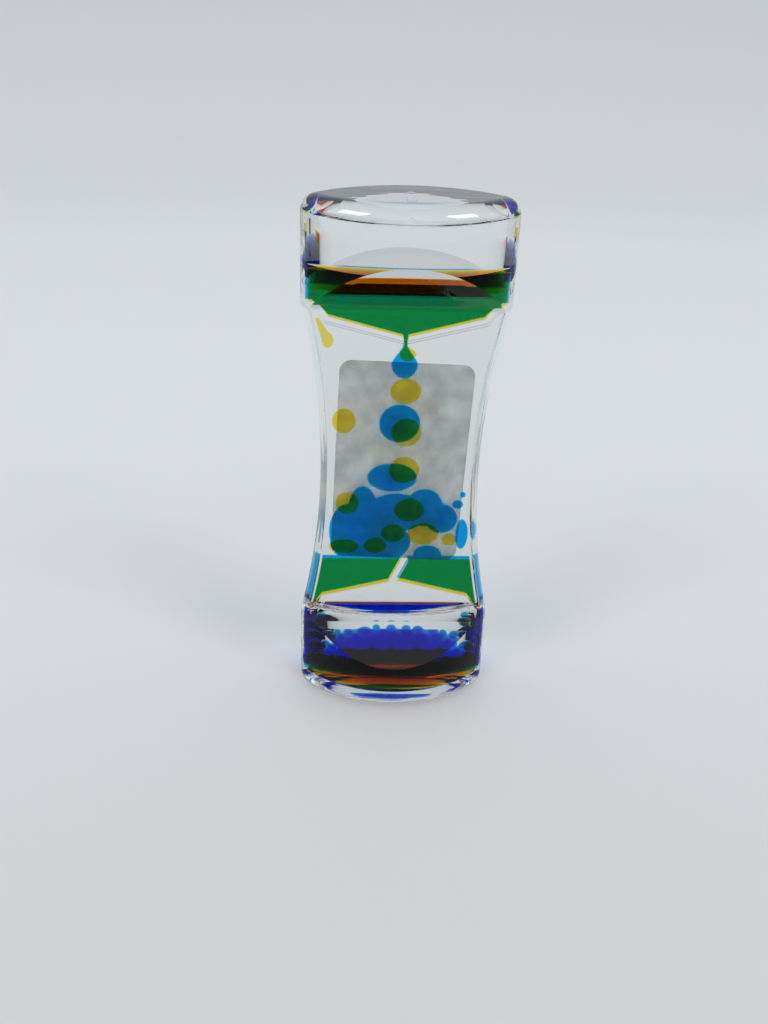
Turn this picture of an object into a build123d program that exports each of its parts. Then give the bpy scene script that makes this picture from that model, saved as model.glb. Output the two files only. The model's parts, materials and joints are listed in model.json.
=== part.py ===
# Liquid motion timer: two clear cups on a flat hourglass panel, yellow water in
# the front slit and blue water in the rear slit, both falling through clear oil.
import os

from build123d import *

os.makedirs("parts", exist_ok=True)

# Body, in mm: Z runs up the axis, the front faces -Y.
HEIGHT = 135.0
CUP_WIDTH = 50.0
CUP_DEPTH = 26.0
CUP_HEIGHT = 24.5
FOOT_HEIGHT = 13.2
WAIST_WIDTH = 40.0
PANEL_DEPTH = 7.8
JOINT_DEPTH = 9.2
EDGE_ROUND = 4.0
CUP_END_ROUND = 5.0

# Walls and rooms.
SIDE_WALL = 2.3
CUP_WALL = 2.4
END_WALL = 4.4
WEB = 1.0
SLIT = 1.5
FLOOR_ROUND = 0.9
FLARE_WALL = 1.6
ROOM_MOUTH = 21.1

# Funnel strips: a ledge at the joint, a shoulder, then a shallow V to the hole.
STRIP = 1.6
LEDGE = 2.1
SHOULDER_RUN = 2.0
SHOULDER_DROP = 3.5
V_DROP = 4.9
TAB = 0.8
ORIFICE = 0.9
DRAIN = 0.9

# Fill plugs and label.
PLUG = 2.4
PLUG_HEAD = 0.6
LABEL_WIDTH = 33.2
LABEL_HEIGHT = 55.0
LABEL_SHEET = 0.12
LABEL_CORNER = 3.0
LABEL_TURN = -1.8

# Clearances: an oil film round the water, fits of the loose pieces, drop channels.
# The last one is how far water runs on into the water it joins.
FILM = 0.15
FIT = 0.05
GLUE = 0.02
SPACE = 0.3
LAP = 0.5

# Water levels, as shares of a cup's height from its closed end.
YELLOW_LEFT = 0.641
BLUE_LEFT = 0.7
YELLOW_SUNK = 0.457
BLUE_SUNK = 0.465
TRICKLE = 2.2

MID = HEIGHT / 2
JOINT = HEIGHT - CUP_HEIGHT
WAIST_ROOM = WAIST_WIDTH / 2 - SIDE_WALL
JOINT_ROOM = CUP_WIDTH / 2 - SIDE_WALL
SLIT_OUTER = WEB / 2 + SLIT
FLARE = (CUP_DEPTH - JOINT_DEPTH) / 2 / (CUP_HEIGHT - FOOT_HEIGHT)
ROOM_LEDGE = JOINT_DEPTH / 2 + FLARE * (CUP_HEIGHT - ROOM_MOUTH) - FLARE_WALL
FUNNEL_TIP = JOINT - SHOULDER_DROP - V_DROP
ROOF_TIP = HEIGHT - FUNNEL_TIP
DROP_SHEET = SLIT - 2 * SPACE
FRONT = 1
REAR = -1


def high(share):
    """Height at a share of the way from the lower roof to the upper funnel."""
    return ROOF_TIP + share * (FUNNEL_TIP - ROOF_TIP)


def across(share):
    """Length along X at a share of the waist's clear half width."""
    return share * WAIST_ROOM


def tall(share):
    """Length along Z at a share of the fall from the upper funnel to the lower roof."""
    return share * (FUNNEL_TIP - ROOF_TIP)


# Drops: name, across, high, width, height, all as shares of the slit's width or fall.
YELLOW_TRAIN = [
    ("front_drop_1", 0.027, 0.803, 0.431, 0.096),
    ("front_drop_2", 0.062, 0.645, 0.430, 0.109),
    ("front_drop_3", 0.053, 0.496, 0.439, 0.106),
]
YELLOW_STRAY = ("front_stray_drop", -0.812, 0.687, 0.330, 0.097)
BLUE_FALLING = ("rear_drop_1", -0.030, 0.669, 0.577, 0.148)
YELLOW_LANDED = [
    ("front_landed_drop_1", -0.746, 0.358, 0.345, 0.090),
    ("front_landed_drop_2", 0.152, 0.331, 0.435, 0.097),
    ("front_landed_drop_3", -0.066, 0.232, 0.351, 0.078),
    ("front_landed_drop_4", -0.785, 0.174, 0.440, 0.061),
    ("front_landed_drop_5", -0.322, 0.178, 0.335, 0.066),
    ("front_landed_drop_6", 0.374, 0.230, 0.455, 0.093),
    ("front_landed_drop_7", 0.755, 0.206, 0.221, 0.052),
]
BLUE_RESTING = ("rear_resting_drop", -0.106, 0.453, 0.718, 0.115)
BLUE_SMALL = [
    ("rear_small_drop_1", 0.930, 0.385, 0.079, 0.023),
    ("rear_small_drop_2", 0.866, 0.344, 0.161, 0.036),
]
# Pendant drops: across, drop below the funnel tip, width, height.
YELLOW_PENDANT = (0.033, 0.056, 0.242, 0.058)
BLUE_PENDANT = (0.004, 0.103, 0.364, 0.113)
# Lobes of the blue heap: across, high, width, height.
BLUE_LOBES = [
    (-0.517, 0.322, 0.422, 0.186),
    (-0.736, 0.228, 0.528, 0.225),
    (-0.027, 0.306, 0.906, 0.159),
    (0.378, 0.328, 0.555, 0.155),
    (0.637, 0.283, 0.470, 0.120),
    (-0.393, 0.181, 1.183, 0.201),
    (0.462, 0.128, 0.418, 0.075),
    (0.952, 0.217, 0.185, 0.126),
]
POOL_LEVEL = 0.12
# The label's middle: across, high.
LABEL_PLACE = (0.012, 0.494)
# How far each falling drop can travel up and down in its channel, as a share of the fall.
TRAIN_REACH = 0.0585
STRAY_REACH = 0.2281
FALL_REACH = 0.0892
# Oil rising through the lower hole: width, length, lean in degrees.
OIL_RISE = (0.113, 0.132, 66.0)
# Yellow run by the left wall: its top's depth below the joint, its length down to the bulb's middle,
# how far that middle is from the wall, the gap left on both sides of its top, and the bulb's size.
RUN_DROP = 4.3
RUN_LENGTH = 5.0
RUN_OFF_WALL = 2.25
RUN_GAP = 0.4
BULB_SIZE = (0.158, 0.055)


def oval(half_width, half_depth, end_round):
    """Four tangent arcs: two bulging faces and two round ends."""
    reach = half_width - end_round
    bulge = (reach**2 + half_depth**2 - end_round**2) / (2 * (half_depth - end_round))
    span = bulge - end_round
    tx = reach + end_round * reach / span
    ty = end_round * (bulge - half_depth) / span
    with BuildLine() as edge:
        ThreePointArc((-tx, ty), (0, half_depth), (tx, ty))
        ThreePointArc((tx, ty), (half_width, 0), (tx, -ty))
        ThreePointArc((tx, -ty), (0, -half_depth), (-tx, -ty))
        ThreePointArc((-tx, -ty), (-half_width, 0), (-tx, ty))
    make_face(edge.edges())


def prism(right):
    """A prism along X, from the points of its profile behind the axis, which is the same in front."""
    with BuildPart() as part:
        with BuildSketch(Plane.YZ):
            with BuildLine():
                Polyline(*right, *[(-y, z) for y, z in reversed(right)], close=True)
            make_face()
        extrude(amount=CUP_WIDTH, both=True)
    return part.part


def panel_solid(grow):
    """The outside of the panel: ovals as deep as the cups, cut by flat faces and the flares' ends."""
    joint = JOINT_DEPTH / 2 + grow
    flat = PANEL_DEPTH / 2 + grow
    bend = CUP_HEIGHT + (joint - flat) / FLARE
    with BuildPart() as panel:
        for step in range(7):
            level = CUP_HEIGHT + step * (JOINT - CUP_HEIGHT) / 6
            share = ((level - MID) / (JOINT - MID)) ** 2
            half = WAIST_WIDTH / 2 + (CUP_WIDTH - WAIST_WIDTH) / 2 * share
            with BuildSketch(Plane.XY.offset(level)):
                oval(half + grow, CUP_DEPTH / 2 + grow, CUP_END_ROUND + grow)
        loft()
        faces = [(joint, CUP_HEIGHT), (flat, bend), (flat, HEIGHT - bend), (joint, JOINT)]
        add(prism(faces), mode=Mode.INTERSECT)
    return panel.part


def slit_plane(side, inset):
    """Plane of the slit face from which an extrusion towards the front fills the slit."""
    if side == FRONT:
        return Plane.XZ.offset(WEB / 2 + inset)
    return Plane.XZ.offset(inset - SLIT_OUTER)


def slit_outline(inset):
    """The slit's hourglass outline, from joint to joint."""
    wide = JOINT_ROOM - inset
    slim = WAIST_ROOM - inset
    with BuildLine() as edge:
        Line((-wide, CUP_HEIGHT), (wide, CUP_HEIGHT))
        ThreePointArc((wide, CUP_HEIGHT), (slim, MID), (wide, JOINT))
        Line((wide, JOINT), (-wide, JOINT))
        ThreePointArc((-wide, JOINT), (-slim, MID), (-wide, CUP_HEIGHT))
    make_face(edge.edges())


def cup_room(inset):
    """The room of the lower cup on both sides of the web, shrunk by the inset."""
    wall = CUP_WALL + inset
    with BuildPart() as room:
        with BuildSketch(Plane.XY.offset(END_WALL + inset)):
            oval(CUP_WIDTH / 2 - wall, CUP_DEPTH / 2 - wall, CUP_END_ROUND - wall)
        extrude(amount=CUP_HEIGHT - END_WALL - inset)
        fillet(room.faces().sort_by(Axis.Z)[0].edges(), FLOOR_ROUND)
        ledge = ROOM_LEDGE - inset
        mouth = SLIT_OUTER - inset
        level = ROOM_MOUTH - inset
        walls = [(ledge + FLARE * level, 0), (ledge, level), (mouth, level), (mouth, CUP_HEIGHT)]
        add(prism(walls), mode=Mode.INTERSECT)
        with Locations((0, 0, CUP_HEIGHT / 2)):
            Box(CUP_WIDTH, WEB + 2 * inset, CUP_HEIGHT * 2, mode=Mode.SUBTRACT)
    return room.part


def cup_slice(side, bottom, top):
    """One side of the lower cup's room between two heights."""
    with BuildPart() as part:
        add(cup_room(FILM))
        with Locations((0, -side * CUP_DEPTH / 2, (bottom + top) / 2)):
            Box(CUP_WIDTH, CUP_DEPTH, top - bottom, mode=Mode.INTERSECT)
    return part.part


def disc(side, place, size, name):
    """A drop squeezed flat between the slit's two faces."""
    with BuildPart() as drop:
        with BuildSketch(slit_plane(side, SPACE)):
            with Locations(place):
                Ellipse(size[0] / 2, size[1] / 2)
        extrude(amount=DROP_SHEET)
        fillet(drop.edges(), min(0.4 * DROP_SHEET, 0.3 * min(size)))
    drop.part.label = name
    return drop.part


# The waist panel with its two slits, and pockets for the funnel tabs.
with BuildPart() as waist_body:
    add(panel_solid(0))
    for side in (FRONT, REAR):
        with BuildSketch(slit_plane(side, 0)):
            slit_outline(0)
            for level in (CUP_HEIGHT + STRIP / 2, JOINT - STRIP / 2):
                with Locations((0, level)):
                    Rectangle(2 * (JOINT_ROOM + TAB), STRIP)
        extrude(amount=SLIT, mode=Mode.SUBTRACT)
waist_body.part.label = "waist_body"
export_step(waist_body.part, "parts/waist_body.step")

# The lower cup: an oval foot that two sloped planes narrow to the panel's section.
with BuildPart() as bottom_cap:
    with BuildSketch(Plane.XY):
        oval(CUP_WIDTH / 2, CUP_DEPTH / 2, CUP_END_ROUND)
    extrude(amount=CUP_HEIGHT)
    fillet(bottom_cap.faces().sort_by(Axis.Z)[0].edges(), EDGE_ROUND)
    flare_faces = [(JOINT_DEPTH / 2 + FLARE * CUP_HEIGHT, 0), (JOINT_DEPTH / 2, CUP_HEIGHT)]
    add(prism(flare_faces), mode=Mode.INTERSECT)
    add(cup_room(0), mode=Mode.SUBTRACT)
bottom_cap.part.label = "bottom_cap"
export_step(bottom_cap.part, "parts/bottom_cap.step")

# The upper cup is the same moulding turned over, with two fill holes drilled in it.
PLUG_Y = WEB / 2 + PLUG / 2 + SPACE
PLUG_PLACES = {"front_fill_plug": -PLUG_Y, "rear_fill_plug": PLUG_Y}
with BuildPart() as top_cap:
    add(mirror(bottom_cap.part, about=Plane.XY.offset(MID)))
    for y in PLUG_PLACES.values():
        with Locations((0, y, HEIGHT - END_WALL / 2)):
            Cylinder(PLUG / 2, END_WALL * 1.5, mode=Mode.SUBTRACT)
top_cap.part.label = "top_cap"
export_step(top_cap.part, "parts/top_cap.step")

for name, y in PLUG_PLACES.items():
    with BuildPart() as plug:
        with Locations((0, y, HEIGHT - END_WALL / 2)):
            Cylinder(PLUG / 2 - GLUE, END_WALL)
        with Locations((0, y, HEIGHT - END_WALL - PLUG_HEAD / 2)):
            Cylinder(PLUG / 2 - 4 * GLUE, PLUG_HEAD)
        fillet(plug.faces().sort_by(Axis.Z)[0].edges(), 0.4 * PLUG_HEAD)
    plug.part.label = name
    export_step(plug.part, f"parts/{name}.step")

# Funnel strips: points of the upper strip's top face, right of the axis.
LEDGE_X = JOINT_ROOM - LEDGE
SHOULDER_X = LEDGE_X - SHOULDER_RUN
STRIP_TOP = [
    (JOINT_ROOM + TAB - FIT, JOINT),
    (LEDGE_X, JOINT),
    (SHOULDER_X, JOINT - SHOULDER_DROP),
]
STRIP_UNDER = [
    (SHOULDER_X + 0.5 * STRIP, JOINT - SHOULDER_DROP - STRIP),
    (LEDGE_X + 0.7 * STRIP, JOINT - STRIP),
    (JOINT_ROOM + TAB - FIT, JOINT - STRIP),
]
STRIP_OUTLINE = (
    STRIP_TOP
    + [(0, FUNNEL_TIP)]
    + [(-x, z) for x, z in reversed(STRIP_TOP)]
    + [(-x, z) for x, z in reversed(STRIP_UNDER)]
    + [(0, FUNNEL_TIP - STRIP)]
    + STRIP_UNDER
)
SLIT_MIDDLE = WEB / 2 + SLIT / 2
for name, side in (("upper_front_funnel", FRONT), ("upper_rear_funnel", REAR)):
    with BuildPart() as funnel:
        with BuildSketch(slit_plane(side, FIT)):
            with BuildLine():
                Polyline(*STRIP_OUTLINE, close=True)
            make_face()
        extrude(amount=SLIT - 2 * FIT)
        with Locations((0, -side * SLIT_MIDDLE, FUNNEL_TIP)):
            Cylinder(ORIFICE / 2, 4 * STRIP, mode=Mode.SUBTRACT)
        for x in (-1, 1):
            with Locations((x * (JOINT_ROOM - LEDGE / 2), -side * SLIT_MIDDLE, JOINT)):
                Cylinder(DRAIN / 2, 4 * STRIP, mode=Mode.SUBTRACT)
    funnel.part.label = name
    export_step(funnel.part, f"parts/{name}.step")
    with BuildPart() as roof:
        add(mirror(funnel.part, about=Plane.XY.offset(MID)))
    roof.part.label = name.replace("upper", "lower")
    export_step(roof.part, f"parts/{roof.part.label}.step")

# The blank label stuck on the back of the panel.
with BuildPart() as rear_label:
    add(panel_solid(GLUE + LABEL_SHEET))
    add(panel_solid(GLUE), mode=Mode.SUBTRACT)
    with BuildSketch(Plane.XZ.offset(-PANEL_DEPTH)):
        with Locations((across(LABEL_PLACE[0]), high(LABEL_PLACE[1]))):
            RectangleRounded(LABEL_WIDTH, LABEL_HEIGHT, LABEL_CORNER, rotation=LABEL_TURN)
    extrude(amount=PANEL_DEPTH, mode=Mode.INTERSECT)
rear_label.part.label = "rear_label"
export_step(rear_label.part, "parts/rear_label.step")

# Water left in the upper cup, standing on the funnel and hanging from its hole.
UPPER_WATER = {
    "upper_front_water": (FRONT, YELLOW_LEFT, YELLOW_PENDANT),
    "upper_rear_water": (REAR, BLUE_LEFT, BLUE_PENDANT),
}
for name, (side, share, (px, pz, width, height)) in UPPER_WATER.items():
    level = share * CUP_HEIGHT
    hang = tall(pz)
    with BuildPart() as water:
        add(mirror(cup_slice(side, level, CUP_HEIGHT), about=Plane.XY.offset(MID)))
        with BuildSketch(slit_plane(side, FILM)):
            with BuildLine():
                Polyline(
                    (LEDGE_X - FILM, JOINT + LAP),
                    (LEDGE_X - FILM, JOINT),
                    (SHOULDER_X - FILM, JOINT - SHOULDER_DROP + FILM),
                    (0, FUNNEL_TIP + FILM),
                    (FILM - SHOULDER_X, JOINT - SHOULDER_DROP + FILM),
                    (FILM - LEDGE_X, JOINT),
                    (FILM - LEDGE_X, JOINT + LAP),
                    close=True,
                )
            make_face()
        extrude(amount=SLIT - 2 * FILM)
        with Locations((0, -side * SLIT_MIDDLE, FUNNEL_TIP - hang / 4)):
            Cylinder(ORIFICE / 2 - FILM, hang)
        place = (across(px), FUNNEL_TIP - hang)
        add(disc(side, place, (across(width), tall(height)), name))
    water.part.label = name
    export_step(water.part, f"parts/{name}.step")

    with BuildPart() as oil:
        add(mirror(cup_slice(side, 0, level), about=Plane.XY.offset(MID)))
        with Locations((0, -side * PLUG_Y, HEIGHT - END_WALL)):
            Cylinder(PLUG / 2 + SPACE, 2 * (PLUG_HEAD + SPACE), mode=Mode.SUBTRACT)
    oil.part.label = name.replace("water", "oil")
    export_step(oil.part, f"parts/{oil.part.label}.step")

# Water that has reached the lower cup, with the trickles that feed it at both ends.
LOWER_WATER = {
    "lower_front_water": (FRONT, YELLOW_SUNK),
    "lower_rear_water": (REAR, BLUE_SUNK),
}
for name, (side, share) in LOWER_WATER.items():
    level = share * CUP_HEIGHT
    drains = [(x * (JOINT_ROOM - 1.15 * TRICKLE), -side * SLIT_MIDDLE) for x in (-1, 1)]
    column = CUP_HEIGHT - STRIP - level + 2 * LAP
    with BuildPart() as water:
        add(cup_slice(side, 0, level))
        for x, y in drains:
            with Locations((x, y, level + column / 2 - 2 * LAP)):
                Cylinder(SLIT_MIDDLE - WEB / 2 - 2 * FILM, column)
    water.part.label = name
    export_step(water.part, f"parts/{name}.step")

    with BuildPart() as oil:
        add(cup_slice(side, level, CUP_HEIGHT))
        for x, y in drains:
            with Locations((x, y, CUP_HEIGHT - (CUP_HEIGHT - level) / 2)):
                Box(TRICKLE + SPACE, SLIT, CUP_HEIGHT - level, mode=Mode.SUBTRACT)
    oil.part.label = name.replace("water", "oil")
    export_step(oil.part, f"parts/{oil.part.label}.step")

# Falling, landed and resting drops.
drops = []
YELLOW_DROPS = YELLOW_TRAIN + [YELLOW_STRAY] + YELLOW_LANDED
BLUE_DROPS = [BLUE_FALLING, BLUE_RESTING] + BLUE_SMALL
for side, rows in ((FRONT, YELLOW_DROPS), (REAR, BLUE_DROPS)):
    for name, x, z, width, height in rows:
        size = (across(width), tall(height))
        drops.append(disc(side, (across(x), high(z)), size, name))
for drop in drops:
    export_step(drop, f"parts/{drop.label}.step")

# Yellow that ran over the funnel's end and hangs by the left wall.
def slit_wall(z):
    """The slit's clear half width at one height."""
    rise = JOINT - MID
    flare = JOINT_ROOM - WAIST_ROOM
    bend = (rise**2 + flare**2) / (2 * flare)
    return WAIST_ROOM + bend - (bend**2 - (z - MID) ** 2) ** 0.5


def shoulder_under(z):
    """Where the underside of the upper strip's shoulder is at one height."""
    (low_x, low_z), (high_x, high_z) = STRIP_UNDER[:2]
    return low_x + (high_x - low_x) * (z - low_z) / (high_z - low_z)


def wall_run(grow, mode):
    """The run, its round top between strip and wall, and its bulb, drawn in the open sketch."""
    top_z = JOINT - RUN_DROP
    end_z = top_z - RUN_LENGTH
    inner, outer = shoulder_under(top_z), slit_wall(top_z)
    top_x = -(inner + outer) / 2
    end_x = RUN_OFF_WALL - slit_wall(end_z)
    top_half = (outer - inner) / 2 - RUN_GAP + grow
    end_half = across(BULB_SIZE[0]) / 2 + grow
    with BuildLine() as edge:
        Polyline(
            (top_x - top_half, top_z),
            (top_x + top_half, top_z),
            (end_x + end_half, end_z),
            (end_x - end_half, end_z),
            close=True,
        )
    make_face(edge.edges(), mode=mode)
    with Locations((top_x, top_z)):
        Circle(top_half, mode=mode)
    with Locations((end_x, end_z)):
        Ellipse(end_half, tall(BULB_SIZE[1]) / 2 + grow, mode=mode)


with BuildPart() as front_wall_run:
    with BuildSketch(slit_plane(FRONT, SPACE)):
        wall_run(0, Mode.ADD)
    extrude(amount=DROP_SHEET)
front_wall_run.part.label = "front_wall_run"
export_step(front_wall_run.part, "parts/front_wall_run.step")

# Water standing on the lower roof: a yellow pool in front, a blue heap behind.
ROOF_LEVEL = high(POOL_LEVEL)
WIDE = JOINT_ROOM + TAB
ROOF_TOP = [(x, HEIGHT - z + FILM) for x, z in STRIP_UNDER]
ROOF_LINE = ROOF_TOP[::-1] + [(0, ROOF_TIP + STRIP + FILM)] + [(-x, z) for x, z in ROOF_TOP]


def roof_pool():
    """The slit between the roof and the pool's level, less the rising oil."""
    slit_outline(FILM)
    with BuildLine() as edge:
        Polyline((WIDE, ROOF_LEVEL), *ROOF_LINE, (-WIDE, ROOF_LEVEL), close=True)
    make_face(edge.edges(), mode=Mode.INTERSECT)


def oil_rise(grow, mode):
    """The clear thread of oil above the lower hole."""
    width, length, lean = across(OIL_RISE[0]), tall(OIL_RISE[1]), OIL_RISE[2]
    with Locations((0.3 * width, ROOF_TIP + STRIP + 0.3 * length)):
        SlotOverall(length, width + 2 * grow, rotation=lean, mode=mode)


with BuildPart() as front_roof_water:
    with BuildSketch(slit_plane(FRONT, FILM)):
        roof_pool()
        oil_rise(0, Mode.SUBTRACT)
    extrude(amount=SLIT - 2 * FILM)
front_roof_water.part.label = "front_roof_water"
export_step(front_roof_water.part, "parts/front_roof_water.step")

with BuildPart() as rear_heap:
    with BuildSketch(slit_plane(REAR, FILM)):
        roof_pool()
        for x, z, width, height in BLUE_LOBES:
            with Locations((across(x), high(z))):
                Ellipse(across(width) / 2, tall(height) / 2)
        oil_rise(0, Mode.SUBTRACT)
    extrude(amount=SLIT - 2 * FILM)
rear_heap.part.label = "rear_heap"
export_step(rear_heap.part, "parts/rear_heap.step")


def middle_oil(side, channels, holes, pendant):
    """Clear oil between the funnel and the pool, open where the drops fall."""
    under = [(x, z - FILM) for x, z in STRIP_UNDER]
    top = under[::-1] + [(0, FUNNEL_TIP - STRIP - FILM)] + [(-x, z) for x, z in under]
    slit_outline(FILM)
    with BuildLine() as edge:
        Polyline((WIDE, ROOF_LEVEL), *top, (-WIDE, ROOF_LEVEL), close=True)
    make_face(edge.edges(), mode=Mode.INTERSECT)
    for rows, reach in channels:
        left = min(across(x - width / 2) for _, x, _, width, _ in rows) - SPACE
        right = max(across(x + width / 2) for _, x, _, width, _ in rows) + SPACE
        low = min(high(z - height / 2 - reach) for _, _, z, _, height in rows) - SPACE
        top_end = max(high(z + height / 2 + reach) for _, _, z, _, height in rows) + SPACE
        with Locations(((left + right) / 2, (low + top_end) / 2)):
            Rectangle(right - left, top_end - low, mode=Mode.SUBTRACT)
    for x, z, width, height in holes:
        with Locations((across(x), high(z))):
            Ellipse(across(width) / 2 + FILM, tall(height) / 2 + FILM, mode=Mode.SUBTRACT)
    px, pz, width, height = pendant
    with Locations((across(px), high(1 - pz))):
        Ellipse(across(width) / 2 + SPACE, tall(height) / 2 + SPACE, mode=Mode.SUBTRACT)
    with Locations((0, high(1 - pz / 2))):
        Rectangle(ORIFICE, tall(pz), mode=Mode.SUBTRACT)
    oil_rise(FILM, Mode.SUBTRACT)
    if side == FRONT:
        wall_run(FILM, Mode.SUBTRACT)


YELLOW_HOLES = [row[1:] for row in YELLOW_LANDED]
BLUE_HOLES = [row[1:] for row in [BLUE_RESTING] + BLUE_SMALL] + BLUE_LOBES
with BuildPart() as front_middle_oil:
    with BuildSketch(slit_plane(FRONT, FILM)):
        falls = [(YELLOW_TRAIN, TRAIN_REACH), ([YELLOW_STRAY], STRAY_REACH)]
        middle_oil(FRONT, falls, YELLOW_HOLES, YELLOW_PENDANT)
    extrude(amount=SLIT - 2 * FILM)
front_middle_oil.part.label = "front_middle_oil"
export_step(front_middle_oil.part, "parts/front_middle_oil.step")

with BuildPart() as rear_middle_oil:
    with BuildSketch(slit_plane(REAR, FILM)):
        middle_oil(REAR, [([BLUE_FALLING], FALL_REACH)], BLUE_HOLES, BLUE_PENDANT)
    extrude(amount=SLIT - 2 * FILM)
rear_middle_oil.part.label = "rear_middle_oil"
export_step(rear_middle_oil.part, "parts/rear_middle_oil.step")
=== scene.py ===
# %% [markdown]
# # A liquid motion timer in clear acrylic
# The timer is a clear hourglass. Two cups are joined by a flat panel with two thin slits in it, one behind
# the other. Dyed water falls through clear oil in both slits, yellow in front and blue behind.
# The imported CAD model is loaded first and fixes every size. Each look that follows is built around it.

# %% Load the CAD frame
import json
import math
import random

import bmesh
import bpy
from mathutils import Matrix, Vector


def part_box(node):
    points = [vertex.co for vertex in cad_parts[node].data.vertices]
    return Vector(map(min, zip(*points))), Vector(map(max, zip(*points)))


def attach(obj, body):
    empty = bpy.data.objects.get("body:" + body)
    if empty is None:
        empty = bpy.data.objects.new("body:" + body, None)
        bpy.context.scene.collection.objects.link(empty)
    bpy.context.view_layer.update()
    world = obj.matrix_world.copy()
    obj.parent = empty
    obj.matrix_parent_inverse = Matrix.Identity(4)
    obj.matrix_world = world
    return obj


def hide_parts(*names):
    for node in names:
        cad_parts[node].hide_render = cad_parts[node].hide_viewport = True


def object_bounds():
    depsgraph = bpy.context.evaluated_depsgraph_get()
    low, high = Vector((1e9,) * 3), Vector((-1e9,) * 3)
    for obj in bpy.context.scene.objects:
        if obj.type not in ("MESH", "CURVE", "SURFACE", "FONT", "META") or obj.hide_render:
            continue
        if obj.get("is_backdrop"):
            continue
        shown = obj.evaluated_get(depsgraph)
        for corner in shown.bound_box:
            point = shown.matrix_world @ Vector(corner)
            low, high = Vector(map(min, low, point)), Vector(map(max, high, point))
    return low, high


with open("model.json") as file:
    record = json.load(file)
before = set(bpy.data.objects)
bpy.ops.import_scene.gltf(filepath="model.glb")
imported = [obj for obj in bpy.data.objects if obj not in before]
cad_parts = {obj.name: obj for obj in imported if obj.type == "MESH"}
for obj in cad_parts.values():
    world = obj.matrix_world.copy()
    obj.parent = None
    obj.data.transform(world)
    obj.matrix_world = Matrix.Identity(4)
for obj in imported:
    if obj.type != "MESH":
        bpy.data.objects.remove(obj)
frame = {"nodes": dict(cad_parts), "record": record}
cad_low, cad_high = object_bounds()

MM = 0.001
nodes = frame["nodes"]
print("CAD nodes", len(nodes), "box in mm", [round(v / MM, 1) for v in cad_high - cad_low])

# %% [markdown]
# ## Sizes
# The outer sizes are read from the boxes of the CAD nodes, so the looks follow the solids. The waist, the
# walls and the rooms don't show in any box and are written here in millimetres.

# %% Read the main sizes
HEIGHT = cad_high.z
CUP_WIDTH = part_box("bottom_cap")[1].x * 2
CUP_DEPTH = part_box("bottom_cap")[1].y * 2
JOINT_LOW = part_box("bottom_cap")[1].z
JOINT_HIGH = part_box("top_cap")[0].z
JOINT_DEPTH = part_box("waist_body")[1].y * 2
PANEL_DEPTH = 7.8 * MM
MIDDLE = HEIGHT / 2
FOOT_HEIGHT = 13.2 * MM
WAIST_WIDTH = 40 * MM
EDGE_ROUND = 4 * MM
CUP_END_ROUND = 5 * MM
SIDE_WALL = 2.3 * MM
CUP_WALL = 2.4 * MM
END_WALL = 4.4 * MM
FLARE_WALL = 1.6 * MM
ROOM_MOUTH = 21.1 * MM
WEB = 1 * MM
SLIT = 1.5 * MM
SLIT_OUTER = WEB / 2 + SLIT
JOINT_ROOM = CUP_WIDTH / 2 - SIDE_WALL
WAIST_ROOM = WAIST_WIDTH / 2 - SIDE_WALL
FLARE = (CUP_DEPTH - JOINT_DEPTH) / 2 / (JOINT_LOW - FOOT_HEIGHT)
ROOM_LEDGE = JOINT_DEPTH / 2 + FLARE * (JOINT_LOW - ROOM_MOUTH) - FLARE_WALL
BEND = JOINT_LOW + (JOINT_DEPTH - PANEL_DEPTH) / 2 / FLARE
print("joints at", round(JOINT_LOW / MM, 1), round(JOINT_HIGH / MM, 1), "flare", round(FLARE, 3))

# %% [markdown]
# ## Outlines and lofts
# Every level of the shell is an oval of four tangent arcs: two bulging faces and two round ends. The flare of
# a cup and the panel are cut flat at the front and back. Each outline has the same number of points on its
# flats and on its curves, so the crease between them follows the mesh from level to level.
# A loft is a grid that is wrapped round the stack of outlines, closed along its seam and filled at both ends.

# %% Points along lines, arcs and ovals
FLAT_STEPS = 24
CURVE_STEPS = 64


def arc(centre, radius, start, end, steps):
    """Points along an arc, without its last one. Angles are in radians."""
    turns = [start + (end - start) * i / steps for i in range(steps)]
    return [(centre[0] + radius * math.cos(a), centre[1] + radius * math.sin(a)) for a in turns]


def line(start, end, steps):
    """Points along a straight line, without its last one."""
    return [tuple(a + (b - a) * i / steps for a, b in zip(start, end)) for i in range(steps)]


def oval_curve(half_width, half_depth, end_round, flat, stop):
    """A quarter of an oval, from the depth where a flat cuts it to the depth where it stops."""
    reach = half_width - end_round
    bulge = (reach**2 + half_depth**2 - end_round**2) / (2 * (half_depth - end_round))
    back = bulge - half_depth
    meet = math.atan2(back, reach)
    face_turn, end_turn = meet, meet
    if flat > end_round * math.sin(meet):
        face_turn = math.asin(min((flat + back) / bulge, 1))
    else:
        end_turn = math.asin(flat / end_round)
    face_length = bulge * (face_turn - meet)
    length = face_length + end_round * (end_turn - math.asin(stop / end_round))
    points = []
    for i in range(CURVE_STEPS + 1):
        run = length * i / CURVE_STEPS
        if run < face_length:
            turn = face_turn - run / bulge
            points.append((bulge * math.cos(turn), bulge * math.sin(turn) - back))
        else:
            turn = end_turn - (run - face_length) / end_round
            points.append((reach + end_round * math.cos(turn), end_round * math.sin(turn)))
    return points


print("points on a quarter of an oval", CURVE_STEPS + 1)

# %% Closed outlines
CORNER_SHARE = 0.49


def oval(half_width, half_depth, end_round, flat, z):
    """A full oval with flats, counter-clockwise from the left crease of the front."""
    curve = oval_curve(half_width, half_depth, end_round, flat, 0)
    x, y = curve[0]
    half = line((-x, -y), (x, -y), FLAT_STEPS)
    half += [(a, -b) for a, b in curve] + [(a, b) for a, b in curve[-2:0:-1]]
    return [Vector((a, b, z)) for a, b in half] + [Vector((-a, -b, z)) for a, b in half]


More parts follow.
